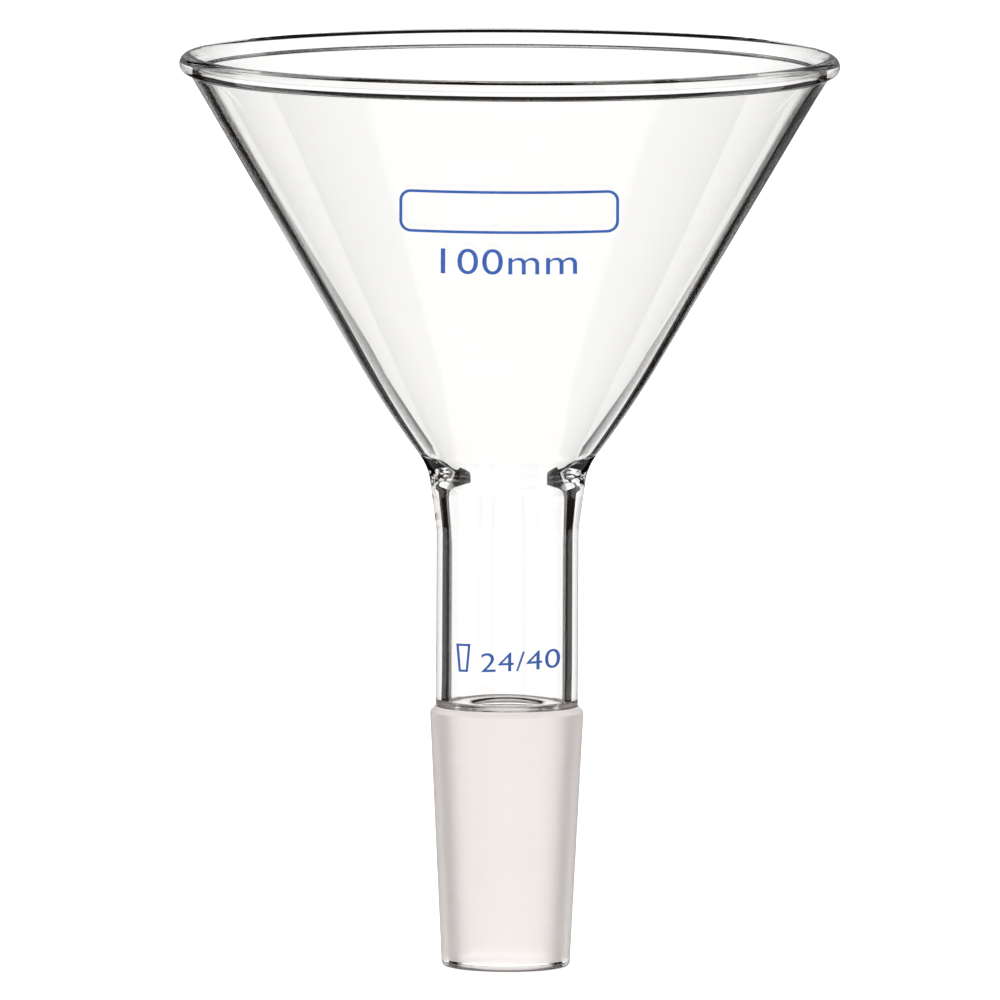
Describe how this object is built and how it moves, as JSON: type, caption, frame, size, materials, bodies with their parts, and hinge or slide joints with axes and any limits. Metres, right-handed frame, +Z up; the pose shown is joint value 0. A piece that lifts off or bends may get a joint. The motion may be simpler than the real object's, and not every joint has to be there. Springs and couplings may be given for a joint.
{
  "type": "powder funnel",
  "caption": "Wide conical glass powder funnel with a beaded rim, a short stem and a ground taper joint that seats in a flask's socket.",
  "frame": {"origin": "on the axis at the ground joint's gauge plane, where the taper is 24 mm across", "axes": "+Z up along the funnel's axis, from the tip to the bowl's mouth; X and Y are alike"},
  "size_m": [0.103, 0.103, 0.1429],
  "materials": {
    "clear_glass": "clear fire-polished borosilicate glass",
    "ground_glass": "finely ground, frosted borosilicate glass"
  },
  "bodies": {
    "root": {"rim_bead": "clear_glass", "bowl": "clear_glass", "throat_seal": "clear_glass", "stem_tube": "clear_glass", "joint_seal": "clear_glass", "ground_joint": "ground_glass", "joint_tip": "clear_glass"}
  },
  "joints": []
}
